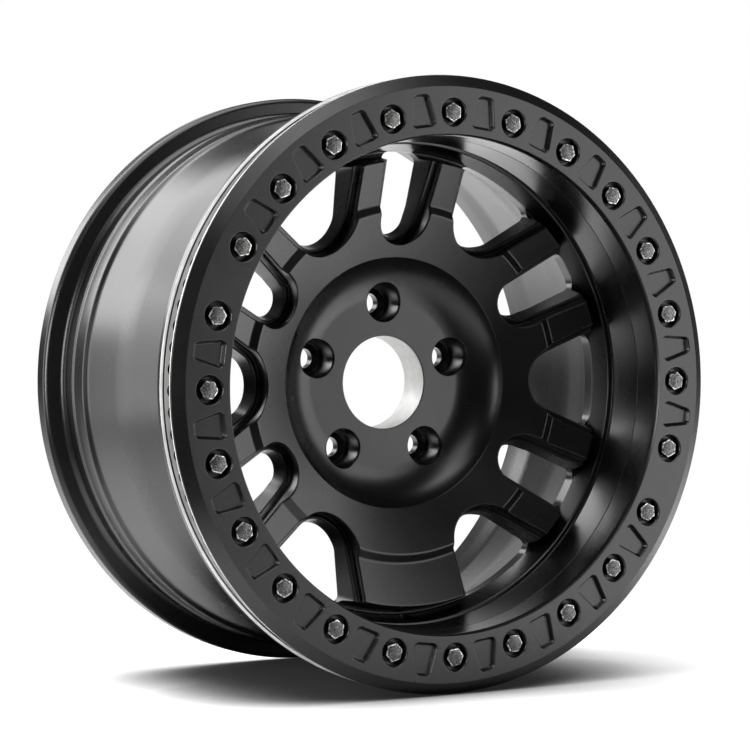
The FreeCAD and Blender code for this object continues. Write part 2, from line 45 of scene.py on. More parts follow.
HUB_DEPTH = 139.8
HUB_FLOOR = 109
BORE_R = 37
SPOKE_FACE = [(99.5, 88.6), (135, 72), (142, 74.6), (175.4, 60.2)]
SPOKE_THICK = 28.0
LEDGE = [(104, 100), (176.2, 66.6)]
CLAMP_DEPTH = 13.5
REGISTER_R = 217
SHOULDER_R = 236.4
SHOULDER_DEPTH = 24
CHAMFER_R = 234.6
CHAMFER_FRONT, CHAMFER_BACK = 24.6, 25.6
FLANGE_R = 235.6
REAR_DEPTH = 260.1


def metres(x, depth, z=0):
    """A place in mm, with its depth counted from the ring face, as a point of the shared frame."""
    return Vector((x, depth - HUB_DEPTH, z)) * MM


def spun(bm, steps):
    """Turns all edges of a bmesh about the wheel axis into a closed skin."""
    bmesh.ops.spin(bm, geom=bm.verts[:] + bm.edges[:], cent=(0, 0, 0), axis=(0, 1, 0), dvec=(0, 0, 0),
                   angle=math.tau, steps=steps, use_merge=True)
    bmesh.ops.remove_doubles(bm, verts=bm.verts[:], dist=WELD)
    bmesh.ops.recalc_face_normals(bm, faces=bm.faces[:])


def turned(corners):
    """A closed ring turned from (radius, depth, rounding) corners; large roundings get more segments."""
    bm = bmesh.new()
    verts = [bm.verts.new(metres(r, d)) for r, d, _ in corners]
    bm.faces.new(verts)
    for vert, (_, _, rounding) in zip(verts, corners):
        if rounding:
            bmesh.ops.bevel(bm, geom=[vert], offset=rounding * MM, offset_type="OFFSET", affect="VERTICES",
                            segments=3 if rounding < 6 else 10, profile=0.5, material=-1)
    bmesh.ops.delete(bm, geom=bm.faces[:], context="FACES_ONLY")
    spun(bm, ROUND_STEPS)
    return bm


def finished(bm, name, crease=32):
    """Turns a bmesh into a smooth object at the origin, with edges over crease degrees kept sharp."""
    mesh = bpy.data.meshes.new(name)
    bm.to_mesh(mesh)
    bm.free()
    mesh.shade_smooth()
    mesh.set_sharp_from_angle(angle=math.radians(crease))
    piece = bpy.data.objects.new(name, mesh)
    bpy.context.scene.collection.objects.link(piece)
    return piece


def settled(piece):
    """Replaces an object's mesh by the result of its modifiers."""
    raw = piece.data
    shown = piece.evaluated_get(bpy.context.evaluated_depsgraph_get())
    piece.data = bpy.data.meshes.new_from_object(shown)
    piece.modifiers.clear()
    bpy.data.meshes.remove(raw)
    piece.data.name = piece.name


def cut(blank, tool, name, crease=32):
    """Cuts the tool's shells out of the blank, then lets large faces lead the shading of small ones."""
    piece = finished(blank, name, crease)
    cutter = finished(tool, name + "_tool")
    boolean = piece.modifiers.new("cut", "BOOLEAN")
    boolean.operation = "DIFFERENCE"
    boolean.solver = "EXACT"
    boolean.object = cutter
    settled(piece)
    bpy.data.objects.remove(cutter)
    piece.data.shade_smooth()
    piece.data.set_sharp_from_angle(angle=math.radians(crease))
    even = piece.modifiers.new("even", "WEIGHTED_NORMAL")
    even.keep_sharp = True
    settled(piece)
    return piece


casting_blank = turned([
    # Hub floor, the hollow of the dish and the spokes' street-side face.
    (BORE_R, HUB_FLOOR, 0.8), (88.97, HUB_FLOOR, 22.9),
    *[(r, d, rounding) for (r, d), rounding in zip(SPOKE_FACE, (3.0, 1.0, 1.2, 2.0))],
    # Sill and the groove in front of it.
    (178, 82, 2.0), (182.8, 83.8, 1.5), (187.9, 66.1, 1.2), (191.5, 65.5, 0.6), (191.5, 60, 0.6),
    (188.8, 59.4, 0.8),
    # Counterbore for the ring's spigot, bead register and the shoulder with its chamfered edge.
    (190.3, 28.4, 0), (194.2, 28.4, 0), (194.2, CLAMP_DEPTH, 0), (REGISTER_R, CLAMP_DEPTH, 0.5),
    (REGISTER_R, SHOULDER_DEPTH, 0), (233.4, SHOULDER_DEPTH, 0.3), (CHAMFER_R, CHAMFER_FRONT, 0.2),
    (SHOULDER_R, CHAMFER_BACK, 0.4), (SHOULDER_R, 30.4, 1.2),
    # Barrel with the drop centre, rear bead seat with its hump, and the rear flange.
    (227.4, 36.5, 6.0), (205, 50, 9.0), (196, 66, 8.0), (194, 91.8, 5.0), (196.5, 102, 5.5),
    (209.5, 150, 12.0), (217, 200, 2.0), (220, 203.1, 1.5), (220, 220, 1.2), (221.4, 223, 1.2),
    (218.6, 226, 1.5), (219.4, 239, 1.5), (222.2, 242.1, 1.5), (233, 243.5, 1.5), (FLANGE_R, 246, 1.2),
    (FLANGE_R, 258.1, 1.2), (233.6, REAR_DEPTH, 1.0), (228.6, REAR_DEPTH, 1.5),
    # Inside of the flange and the barrel, back of the spokes, and the pad of the hub mounting face.
    (226.6, 252, 2.5), (213.6, 247, 4.0), (212.6, 226, 3.0), (212.6, 206, 5.0), (202.5, 150, 12.0),
    (190, 108.8, 4.0), (187, 97.8, 3.0), (178, 88, 3.0),
    *[(r, d + SPOKE_THICK, 3.0) for r, d in SPOKE_FACE[1::-1]],
    (88, 123.8, 4.0), (84, 137.8, 1.0), (82, HUB_DEPTH, 0.6), (BORE_R, HUB_DEPTH, 0.8),
])

# The windows come in pairs of a narrow and a wide form, each given by its inner end, rounding and flare.
WINDOW_PAIRS = 6
NARROW_WINDOW = (109.4, 21.35, 5.4)
WIDE_WINDOW = (119.5, 31.9, 27.9)
WINDOW_R = 183.0
WINDOW_CORNER = 8.0
# Down a window's wall: inset from its outline, the line that is followed, and the depth below that line.
# An edge chamfer leads to a drafted wall, a ledge, and a narrower wall that ends behind the spokes.
WINDOW_WALL = [
    (-1.2, None, 15.0), (-1.2, SPOKE_FACE, -0.3), (0.0, SPOKE_FACE, 1.0), (1.0, LEDGE, 0.0),
    (4.6, LEDGE, 0.0), (5.6, LEDGE, 1.2), (9.0, SPOKE_FACE, SPOKE_THICK), (9.0, None, 136.0),
]


def along(line, radius):
    """Depth at a radius on a broken line of (radius, depth) points; its end slopes run on."""
    spans = list(zip(line, line[1:]))
    (r0, d0), (r1, d1) = next((span for span in spans if radius < span[1][0]), spans[-1])
    return d0 + (d1 - d0) * (radius - r0) / (r1 - r0)


def arc(centre, radius, start, end, steps):
    """Points on an arc from one angle to another, both ends included."""
    angles = [start + (end - start) * k / steps for k in range(steps + 1)]
    return [(centre[0] + radius * math.cos(a), centre[1] + radius * math.sin(a)) for a in angles]


def window_outline(end, rounding, flare, inset):
    """Points of a window's outline around the upward axis, moved inwards by inset."""
    beta = math.radians(flare)
    tilt = math.tan(beta)
    span = 1 + tilt ** 2
    middle = end + rounding
    r, top = rounding - inset, WINDOW_R - min(inset, 0)
    inner = arc((0, middle), r, beta - math.pi, -beta, 16)
    # The corner's centre lies its radius inside the flank and its radius inside the rim.
    shift = r * math.cos(beta) - tilt * (middle - r * math.sin(beta)) - WINDOW_CORNER / math.cos(beta)
    cz = (-tilt * shift + math.sqrt((top - WINDOW_CORNER) ** 2 * span - shift ** 2)) / span
    cx = shift + tilt * cz
    away = math.atan2(cz, cx)
    corner = arc((cx, cz), WINDOW_CORNER, -beta, away, 6)
    (x0, z0), (x1, z1) = inner[-1], corner[0]
    flank = [(x0 + (x1 - x0) * k / 12, z0 + (z1 - z0) * k / 12) for k in range(1, 12)]
    rim = arc((0, 0), top, away, math.pi - away, 12)[1:-1]
    half = flank + corner
    return inner + half + rim + [(-x, z) for x, z in reversed(half)]


def skinned(tool, loops):
    """Bridges a row of closed point loops into one capped shell inside the tool."""
    rims = []
    for loop in loops:
        verts = [tool.verts.new(point) for point in loop]
        rims.append([tool.edges.new(pair) for pair in zip(verts, verts[1:] + verts[:1])])
    for upper, lower in zip(rims, rims[1:]):
        bmesh.ops.bridge_loops(tool, edges=upper + lower)
    for rim in (rims[0], rims[-1]):
        bmesh.ops.edgeloop_fill(tool, edges=rim)


def window_tool(tool, end, rounding, flare, turn):
    """One window cutter, turned from the top of the wheel to its place."""
    spin = Matrix.Rotation(math.radians(turn), 4, "Y")
    loops = []
    for inset, line, drop in WINDOW_WALL:
        loop = []
        for x, z in window_outline(end, rounding, flare, inset):
            depth = drop + (along(line, math.hypot(x, z)) if line else 0)
            loop.append(spin @ metres(x, depth, z))
        loops.append(loop)
    skinned(tool, loops)


casting_tool = bmesh.new()
for k in range(WINDOW_PAIRS):
    turn = 360 / WINDOW_PAIRS * k
    window_tool(casting_tool, *NARROW_WINDOW, turn)
    window_tool(casting_tool, *WIDE_WINDOW, turn + 180 / WINDOW_PAIRS)
bmesh.ops.recalc_face_normals(casting_tool, faces=casting_tool.faces[:])


def bored(corners, at, steps):
    """A stepped drill shape of (radius, depth) corners, standing at the top of the wheel on radius at."""
    bm = bmesh.new()
    verts = [bm.verts.new(metres(r, d)) for r, d in corners]
    for pair in zip(verts, verts[1:]):
        bm.edges.new(pair)
    spun(bm, steps)
    bmesh.ops.translate(bm, verts=bm.verts[:], vec=(0, 0, at * MM))
    return bm


def spread(tool, shape, turns):
    """Copies a shape around the wheel axis into a tool and frees the shape."""
    mesh = bpy.data.meshes.new("copy")
    shape.to_mesh(mesh)
    shape.free()
    for turn in turns:
        before = len(tool.verts)
        tool.from_mesh(mesh)
        tool.verts.ensure_lookup_table()
        bmesh.ops.rotate(tool, verts=tool.verts[before:], cent=(0, 0, 0),
                         matrix=Matrix.Rotation(math.radians(turn), 3, "Y"))
    bpy.data.meshes.remove(mesh)


# Lug holes: a well with a broken edge, a cone seat for the nut and the hole for the stud.
LUG_COUNT = 5
LUG_R = 63.5
LUG_HOLE_R = 7.75
LUG_SEAT_DEPTH = 128
lug_drill = bored([
    (0, 60), (16.4, 60), (16.4, 108.0), (14.6, 110.2), (14.5, LUG_SEAT_DEPTH), (12.2, LUG_SEAT_DEPTH),
    (LUG_HOLE_R, 132.5), (LUG_HOLE_R, 150), (0, 150),
], LUG_R, 48)
spread(casting_tool, lug_drill, [360 / LUG_COUNT * k for k in range(LUG_COUNT)])

# Dimples: a row of shallow round pockets in the shoulder that grip the tyre bead.
DIMPLE_COUNT = 90
DIMPLE_R = 225.3
DIMPLE_FLOOR = 27.6
DIMPLE_START = 1.8
dimple_drill = bored([(0, 20), (6, 20), (6, 27.0), (5.4, DIMPLE_FLOOR), (0, DIMPLE_FLOOR)], DIMPLE_R, 20)
spread(casting_tool, dimple_drill, [360 / DIMPLE_COUNT * k + DIMPLE_START for k in range(DIMPLE_COUNT)])

# Valve hole: one round hole through the barrel wall beside the sill, at the bottom of the wheel.
VALVE_HOLE_R = 5.65
VALVE_DEPTH = 76
VALVE_DRILL_AT = -190
VALVE_DRILL_LONG = 30
bmesh.ops.create_cone(casting_tool, cap_ends=True, segments=32, radius1=VALVE_HOLE_R * MM,
                      radius2=VALVE_HOLE_R * MM, depth=VALVE_DRILL_LONG * MM,
                      matrix=Matrix.Translation(metres(0, VALVE_DEPTH, VALVE_DRILL_AT)))
casting = cut(casting_blank, casting_tool, "casting")


def linear(code):
    """An sRGB hex colour as linear red, green, blue and alpha."""
    parts = [int(code[i:i + 2], 16) / 255 for i in (1, 3, 5)]
    return [p / 12.92 if p <= 0.04045 else ((p + 0.055) / 1.055) ** 2.4 for p in parts] + [1.0]


def node(material, kind, settings, links):
    """Adds one shader node, sets its fields and sockets, and links its inputs."""
    new = material.node_tree.nodes.new(kind)
    for key, value in settings.items():
        if isinstance(key, str) and hasattr(new, key):
            setattr(new, key, value)
        else:
            new.inputs[key].default_value = value
    for socket, source in links.items():
        material.node_tree.links.new(source, new.inputs[socket])
    return new


def coated(name, colour, dull, edge_mm):
    """Powder coat: cured black polyester with an orange-peel skin; it gives a soft sheen and a fine grain.
    Edges are rounded by edge_mm and carry a painted highlight, a paler grey along convex and concave edges
    alike."""
    grain_mm, cloud_mm = 0.9, 45
    black = linear(colour)
    speck = [c * 1.5 for c in black[:3]] + [1.0]
    material = bpy.data.materials.new(name)
    material.use_nodes = True
    shader = material.node_tree.nodes["Principled BSDF"]
    place = node(material, "ShaderNodeTexCoord", {}, {})
    peel = node(material, "ShaderNodeTexNoise", {"Scale": 1000 / grain_mm, "Detail": 2.0},
                {"Vector": place.outputs["Object"]})
    cloud = node(material, "ShaderNodeTexNoise", {"Scale": 1000 / cloud_mm, "Detail": 3.0},
                 {"Vector": place.outputs["Object"]})
    tint = node(material, "ShaderNodeMix", {"data_type": "RGBA", "A": black, "B": speck},
                {"Factor": peel.outputs["Fac"]})
    sheen = node(material, "ShaderNodeMapRange", {"To Min": dull - 0.05, "To Max": dull + 0.05},
                 {"Value": cloud.outputs["Fac"]})
    round_edge = node(material, "ShaderNodeBevel", {"samples": 6, "Radius": edge_mm * MM}, {})
    bump = node(material, "ShaderNodeBump", {"Strength": 0.12, "Distance": 0.2 * MM},
                {"Height": peel.outputs["Fac"], "Normal": round_edge.outputs["Normal"]})
    flat = node(material, "ShaderNodeNewGeometry", {}, {})
    bend = node(material, "ShaderNodeVectorMath", {"operation": "DOT_PRODUCT"},
                {0: round_edge.outputs["Normal"], 1: flat.outputs["Normal"]})
    # Painted highlight: the base colour turns to a paler grey (#5c5c5c) where the rounded-edge normal
    # bends away from the face normal.
    edge_highlight = node(material, "ShaderNodeMapRange",
               {"From Min": 0.99, "From Max": 0.9, "To Min": 0.0, "To Max": 0.3},
               {"Value": bend.outputs["Value"]})
    skin = node(material, "ShaderNodeMix", {"data_type": "RGBA", "B": linear("#5c5c5c")},
                {"Factor": edge_highlight.outputs["Result"], "A": tint.outputs["Result"]})
    links = material.node_tree.links
    links.new(skin.outputs["Result"], shader.inputs["Base Color"])
    links.new(sheen.outputs["Result"], shader.inputs["Roughness"])
    links.new(bump.outputs["Normal"], shader.inputs["Normal"])
    return material


def machined(name, colour, dull):
    """Bare machined aluminium: turning lines around the axis on an even, pale and slightly stained skin.
    It is nearly without mirror shine, and the lines are drawn coarser than a lathe's so that they show."""
    stain_mm, line_mm = 14, 5.0
    pale = linear(colour)
    dark = [c * 0.45 for c in pale[:3]] + [1.0]
    # A wave texture of scale 1 repeats every tau / 20 of a metre.
    line_scale = math.tau / 20 / (line_mm * MM)
    material = bpy.data.materials.new(name)
    material.use_nodes = True
    shader = material.node_tree.nodes["Principled BSDF"]
    shader.inputs["Metallic"].default_value = 0.1
    place = node(material, "ShaderNodeTexCoord", {}, {})
    stain = node(material, "ShaderNodeTexNoise", {"Scale": 1000 / stain_mm, "Detail": 4.0},
                 {"Vector": place.outputs["Object"]})
    lines = node(material, "ShaderNodeTexWave",
                 {"wave_type": "BANDS", "bands_direction": "Y", "Scale": line_scale, "Distortion": 0.6},
                 {"Vector": place.outputs["Object"]})
    tint = node(material, "ShaderNodeMix", {"data_type": "RGBA", "A": dark, "B": pale},
                {"Factor": stain.outputs["Fac"]})
    sheen = node(material, "ShaderNodeMapRange", {"To Min": dull - 0.08, "To Max": dull + 0.08},
                 {"Value": stain.outputs["Fac"]})
    bump = node(material, "ShaderNodeBump", {"Strength": 0.1, "Distance": 0.1 * MM},
                {"Height": lines.outputs["Fac"]})
    links = material.node_tree.links
    links.new(tint.outputs["Result"], shader.inputs["Base Color"])
    links.new(sheen.outputs["Result"], shader.inputs["Roughness"])
    links.new(bump.outputs["Normal"], shader.inputs["Normal"])
    return material


bare_aluminium = machined("machined_aluminium", "#f2f2f0", 0.45)


def painted(piece, coat, is_bare):
    """Coats a piece, apart from the faces whose radius and depth the test picks, which stay bare metal."""
    piece.data.materials.append(coat)
    piece.data.materials.append(bare_aluminium)
    for face in piece.data.polygons:
        radius = math.hypot(face.center.x, face.center.z) / MM
        depth = face.center.y / MM + HUB_DEPTH
        face.material_index = 1 if is_bare(radius, depth) else 0


def bare_on_casting(radius, depth):
    """True in the hub bore, on the shoulder's clamping face and on the chamfer at its edge."""
    bore = radius < BORE_R + 0.6 and depth > HUB_FLOOR + 0.6
    shoulder = radius > REGISTER_R + 0.5 and abs(depth - SHOULDER_DEPTH) < 0.1
    chamfer = radius > CHAMFER_R and CHAMFER_FRONT - 0.1 < depth < CHAMFER_BACK + 0.1
    return bore or shoulder or chamfer


painted(casting, coated("satin_black_powder_coat", "#080808", 0.28, 0.8), bare_on_casting)
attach(casting, "root")
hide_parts("wheel_casting")

# Clamp ring: a separate aluminium ring, turned and milled, powder coated like the casting and bolted to
# its front. Each bolt sits in a counterbored recess, and shallow keystone pockets lie between the bolts.
RING_R = 236.9
RING_BORE_R = 190.3
SPIGOT_R = 194
SPIGOT_DEPTH = 28
BARE_BAND_DEPTH = 7.4
BOLT_COUNT = 24
BOLT_R = 208.3
BOLT_PITCH = 360 / BOLT_COUNT
BOLT_HOLE_R = 4.3
RECESS_FLOOR = 7.2
ring_blank = turned([
    (RING_BORE_R, 3.0, 2.0), (192, 0, 0), (228, 0, 0), (RING_R, 5.9, 0), (RING_R, BARE_BAND_DEPTH, 0),
    (RING_R, 8.4, 0), (233, CLAMP_DEPTH, 0.6), (SPIGOT_R, CLAMP_DEPTH, 0), (SPIGOT_R, SPIGOT_DEPTH, 0.5),
    (RING_BORE_R, SPIGOT_DEPTH, 0.5),
])
ring_tool = bmesh.new()
recess_drill = bored([
    (0, -2), (11.4, -2), (11.4, 0.0), (11.0, 0.4), (10.2, 1.9), (9.8, RECESS_FLOOR),
    (BOLT_HOLE_R, RECESS_FLOOR), (BOLT_HOLE_R, 15), (0, 15),
], BOLT_R, 40)
spread(ring_tool, recess_drill, [BOLT_PITCH * k for k in range(BOLT_COUNT)])

# Keystone pockets: each row of the wall gives the inset from the outline and the depth. For each mm of
# inset the half widths and the corner roundings shrink by their draw. Two spots have no pocket.
POCKET_IN_R, POCKET_OUT_R = 197, 223
POCKET_IN_HALF, POCKET_OUT_HALF = 11.4, 6.5
POCKET_ROUND = 4.0
POCKET_WALL = [(-0.3, -1.0), (0.0, 0.0), (0.35, 0.35), (2.0, 3.6), (2.5, 4.0)]
POCKET_IN_DRAW, POCKET_OUT_DRAW = 1.2, 0.84
POCKET_ROUND_DRAW = 0.7
POCKET_ROUND_LEAST = 0.8
PLAIN_SPOTS = (7, 19)


def keystone(tool, turn):
    """One shallow pocket between two bolts, with sloping walls and rounded corners."""
    spin = Matrix.Rotation(math.radians(turn), 4, "Y")
    loops = []
    for inset, depth in POCKET_WALL:
        low, high = POCKET_IN_R + inset, POCKET_OUT_R - inset
        wide = POCKET_IN_HALF - inset * POCKET_IN_DRAW
        narrow = POCKET_OUT_HALF - inset * POCKET_OUT_DRAW
        r = max(POCKET_ROUND - inset * POCKET_ROUND_DRAW, POCKET_ROUND_LEAST)
        corners = [Vector(c) for c in ((wide, low), (narrow, high), (-narrow, high), (-wide, low))]
        loop = []
        for i, here in enumerate(corners):
            a = (corners[i - 1] - here).normalized()
            b = (corners[(i + 1) % 4] - here).normalized()
            half = a.angle(b) / 2
            middle = here + (a + b).normalized() * (r / math.sin(half))
            first = here + a * (r / math.tan(half)) - middle
            last = here + b * (r / math.tan(half)) - middle
            loop += [middle + first.lerp(last, k / 5).normalized() * r for k in range(6)]
        loops.append([spin @ metres(p.x, depth, p.y) for p in loop])
    skinned(tool, loops)


for k in range(BOLT_COUNT):
    if k not in PLAIN_SPOTS:
        keystone(ring_tool, BOLT_PITCH * (k + 0.5))
bmesh.ops.recalc_face_normals(ring_tool, faces=ring_tool.faces[:])
ring = cut(ring_blank, ring_tool, "clamp_ring", 14)


def bare_on_ring(radius, depth):
    """True on the narrow band behind the ring's outer edge."""
    return radius > RING_R - 0.3 and depth > BARE_BAND_DEPTH


painted(ring, coated("satin_black_ring_coat", "#090909", 0.27, 0.6), bare_on_ring)
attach(ring, "root")
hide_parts("beadlock_ring")

# Ring bolts: forged steel hexagon bolts, zinc plated and handled with a socket; their edges are drawn pale
# for that wear and as painted highlight, and their sides are drawn darker as painted shade.
# Each one stands on its washer in a recess and clamps the ring to the casting. No two are turned alike.
HEX_CORNER_R = 7.51
HEAD_TALL = 5.3
CROWN_EASE = 0.9
SIDE_EASE = 0.5
SHANK_R = 4
SHANK_LONG = 30
BOLT_TWIST = 23
WASHER_THICK = 1.6


def eased(bm, edges, offset):
    """Rounds some edges of a bmesh by an offset in mm."""
    bmesh.ops.bevel(bm, geom=edges, offset=offset * MM, offset_type="OFFSET", affect="EDGES", segments=2,
                    profile=0.5, material=-1)


def hexagon_bolt(twist):
    """One bolt with its head up: the head's face in slot 0, its eased edges in 1 (pale for wear and
    painted highlight), its sides in 2 (darker for painted shade).
    """
    bm = bmesh.new()
    bmesh.ops.create_circle(bm, cap_ends=True, radius=HEX_CORNER_R * MM, segments=6)
    grown = bmesh.ops.extrude_face_region(bm, geom=bm.faces[:])["geom"]
    lifted = [v for v in grown if isinstance(v, bmesh.types.BMVert)]
    bmesh.ops.translate(bm, verts=lifted, vec=(0, 0, HEAD_TALL * MM))
    bmesh.ops.recalc_face_normals(bm, faces=bm.faces[:])
    half_tall = HEAD_TALL * MM / 2
    eased(bm, [e for e in bm.edges if all(v.co.z > half_tall for v in e.verts)], CROWN_EASE)
    eased(bm, [e for e in bm.edges if abs(e.verts[0].co.z - e.verts[1].co.z) > half_tall], SIDE_EASE)
    bm.normal_update()
    for face in bm.faces:
        # Slot 1 gives the eased edges a pale painted highlight, and slot 2 gives the sides a darker
        # painted shade.
        face.material_index = 0 if face.normal.z > 0.95 else 1 if face.normal.z > 0.1 else 2
    bmesh.ops.create_cone(bm, cap_ends=True, segments=24, radius1=SHANK_R * MM, radius2=SHANK_R * MM,
                          depth=SHANK_LONG * MM, matrix=Matrix.Translation((0, 0, -SHANK_LONG * MM / 2)))
    bmesh.ops.rotate(bm, verts=bm.verts[:], cent=(0, 0, 0),
                     matrix=Matrix.Rotation(math.radians(twist), 3, "Z"))
    return bm


def seated(bm, depth):
    """Tips a shape from upright to street side and sets it on the topmost bolt's axis at a depth."""
    bmesh.ops.rotate(bm, verts=bm.verts[:], cent=(0, 0, 0),
                     matrix=Matrix.Rotation(math.radians(90), 3, "X"))
    bmesh.ops.translate(bm, verts=bm.verts[:], vec=metres(0, depth, BOLT_R))
    return bm


def plated(name, dark, pale, dull, speck_mm):
    """Zinc plated forged steel: a mottled grey skin of fine dark and pale specks, soft at its edges."""
    edge_mm = 0.4
    material = bpy.data.materials.new(name)
    material.use_nodes = True
    shader = material.node_tree.nodes["Principled BSDF"]
    shader.inputs["Metallic"].default_value = 1.0
    shader.inputs["Roughness"].default_value = dull
    place = node(material, "ShaderNodeTexCoord", {}, {})
    speck = node(material, "ShaderNodeTexNoise", {"Scale": 1000 / speck_mm, "Detail": 3.0},
                 {"Vector": place.outputs["Object"]})
    ramp = node(material, "ShaderNodeValToRGB", {}, {"Fac": speck.outputs["Fac"]})
    for stop, position, colour in zip(ramp.color_ramp.elements, (0.42, 0.62), (dark, pale)):
        stop.position = position
        stop.color = linear(colour)
    round_edge = node(material, "ShaderNodeBevel", {"samples": 4, "Radius": edge_mm * MM}, {})
    bump = node(material, "ShaderNodeBump", {"Strength": 0.25, "Distance": 0.2 * MM},
                {"Height": speck.outputs["Fac"], "Normal": round_edge.outputs["Normal"]})
    links = material.node_tree.links
    links.new(ramp.outputs["Color"], shader.inputs["Base Color"])
    links.new(bump.outputs["Normal"], shader.inputs["Normal"])
    return material


bolts_bm = bmesh.new()
for k in range(BOLT_COUNT):
    spread(bolts_bm, seated(hexagon_bolt(BOLT_TWIST * k), RECESS_FLOOR - WASHER_THICK), [BOLT_PITCH * k])
bolts = finished(bolts_bm, "ring_bolt_set")
bolts.data.materials.append(plated("zinc_bolt_face", "#2a2a2a", "#747473", 0.42, 0.7))
# Edge colour: pale specks for worn zinc and for a painted highlight on the eased edges.
bolts.data.materials.append(plated("worn_and_highlit_bolt_edge", "#4c4c4b", "#f0f0ee", 0.4, 2.4))
# Side colour: the same zinc drawn darker, as painted shade on the sides of the head.
bolts.data.materials.append(plated("painted_shade_bolt_side", "#161616", "#3a3a3a", 0.4, 0.8))
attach(bolts, "root")
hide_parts("ring_bolts")

# Ring washers: flat washers stamped from steel sheet and zinc plated, darker than the bolt heads.
# Each one lies on the floor of its recess and is clamped there by the bolt head.
WASHER_R = 8
washer = bmesh.new()
for radius in (BOLT_HOLE_R, WASHER_R):
    bmesh.ops.create_circle(washer, cap_ends=False, radius=radius * MM, segments=40)
bmesh.ops.bridge_loops(washer, edges=washer.edges[:])
bmesh.ops.solidify(washer, geom=washer.faces[:], thickness=WASHER_THICK * MM)
bmesh.ops.recalc_face_normals(washer, faces=washer.faces[:])
underside = min(v.co.z for v in washer.verts)
bmesh.ops.translate(washer, verts=washer.verts[:], vec=(0, 0, -underside))
washers_bm = bmesh.new()
spread(washers_bm, seated(washer, RECESS_FLOOR), [BOLT_PITCH * k for k in range(BOLT_COUNT)])
washers = finished(washers_bm, "ring_washer_set")
washers.data.materials.append(plated("dark_zinc_washer_steel", "#1c1c1c", "#4a4a4a", 0.45, 0.9))
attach(washers, "root")
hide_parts("ring_washers")

# Studio floor: matt white paper, a gap in mm under the wheel, with its other sizes in metres. Its colour
# carries a painted contact shadow that darkens it where the wheel is close; the camera sees it a little
# lifted, and it fades into the white room.
FLOOR_GAP = 0.3
FLOOR_HALF = 12
FADE_FROM, FADE_TO = 0.36, 0.68
PAINTED_SHADOW_REACH = 0.13
FLOOR_LIFT = 0.35
floor_bm = bmesh.new()
bmesh.ops.create_grid(floor_bm, x_segments=1, y_segments=1, size=FLOOR_HALF,
                      matrix=Matrix.Translation((0, 0, -(RING_R + FLOOR_GAP) * MM)))
floor = finished(floor_bm, "studio_floor")
paper = bpy.data.materials.new("white_studio_paper")
paper.use_nodes = True
sheet = paper.node_tree.nodes["Principled BSDF"]
sheet.inputs["Roughness"].default_value = 1.0
sheet.inputs["Specular IOR Level"].default_value = 0.0
floor_place = node(paper, "ShaderNodeTexCoord", {}, {})
floor_far = node(paper, "ShaderNodeVectorMath", {"operation": "LENGTH"},
                 {0: floor_place.outputs["Object"]})
fade = node(paper, "ShaderNodeMapRange",
            {"interpolation_type": "SMOOTHSTEP", "From Min": FADE_FROM, "From Max": FADE_TO},
            {"Value": floor_far.outputs["Value"]})
clear = node(paper, "ShaderNodeBsdfTransparent", {}, {})
# Painted shadow: ambient occlusion from the wheel mixes the paper's colour from dark grey to white, so the
# contact shadow lies in the colour and does not come from the lamps.
cover = node(paper, "ShaderNodeAmbientOcclusion", {"samples": 12, "Distance": PAINTED_SHADOW_REACH}, {})
openness = node(paper, "ShaderNodeMapRange", {"From Min": 0.4, "From Max": 0.96},
                {"Value": cover.outputs["AO"]})
tone = node(paper, "ShaderNodeMix", {"data_type": "RGBA", "A": linear("#383838"), "B": linear("#fbfbfb")},
            {"Factor": openness.outputs["Result"]})
paper.node_tree.links.new(tone.outputs["Result"], sheet.inputs["Base Color"])
eye = node(paper, "ShaderNodeLightPath", {}, {})
glow = node(paper, "ShaderNodeMath", {"operation": "MULTIPLY", 1: FLOOR_LIFT},
            {0: eye.outputs["Is Camera Ray"]})
lifted_paper = node(paper, "ShaderNodeEmission", {},
                    {"Color": tone.outputs["Result"], "Strength": glow.outputs["Value"]})
lit_paper = node(paper, "ShaderNodeAddShader", {},
                 {0: sheet.outputs["BSDF"], 1: lifted_paper.outputs["Emission"]})
blend = node(paper, "ShaderNodeMixShader", {},
             {0: fade.outputs["Result"], 1: lit_paper.outputs["Shader"], 2: clear.outputs["BSDF"]})
surface = paper.node_tree.nodes["Material Output"].inputs["Surface"]
paper.node_tree.links.new(blend.outputs["Shader"], surface)
floor.data.materials.append(paper)

# Room: plain white to the camera. Mirror rays see a white wall behind the wheel and a floor that is bright
# at the right and behind. All other rays see a dim room, so that the lamps shape the wheel.
WALL_DIRECTION = (0.496, 0.868, 0.0)
WALL_DIM, WALL_BRIGHT = 0.04, 1.0
FLOOR_SHINE = 3.0
FLOOR_BEHIND = 0.7
ROOM_DIM = 0.05
world = bpy.data.worlds.new("studio")
bpy.context.scene.world = world
world.use_nodes = True
ray = node(world, "ShaderNodeLightPath", {}, {})
direction = node(world, "ShaderNodeTexCoord", {}, {})
facing = node(world, "ShaderNodeVectorMath", {"operation": "DOT_PRODUCT", 1: WALL_DIRECTION},
              {0: direction.outputs["Generated"]})
wall = node(world, "ShaderNodeMapRange",
            {"interpolation_type": "SMOOTHSTEP", "From Min": 0.82, "From Max": 0.97, "To Min": WALL_DIM,
             "To Max": WALL_BRIGHT}, {"Value": facing.outputs["Value"]})
axes = node(world, "ShaderNodeSeparateXYZ", {}, {"Vector": direction.outputs["Generated"]})
below = node(world, "ShaderNodeMapRange",
             {"From Min": -0.05, "From Max": -0.35, "To Min": 0.0, "To Max": FLOOR_SHINE},
             {"Value": axes.outputs["Z"]})
at_right = node(world, "ShaderNodeMapRange", {"From Min": 0.1, "From Max": 0.5},
                {"Value": axes.outputs["X"]})
behind = node(world, "ShaderNodeMapRange",
              {"From Min": 0.15, "From Max": 0.55, "To Min": 0.0, "To Max": FLOOR_BEHIND},
              {"Value": axes.outputs["Y"]})
lit_side = node(world, "ShaderNodeMath", {"operation": "MAXIMUM"},
                {0: at_right.outputs["Result"], 1: behind.outputs["Result"]})
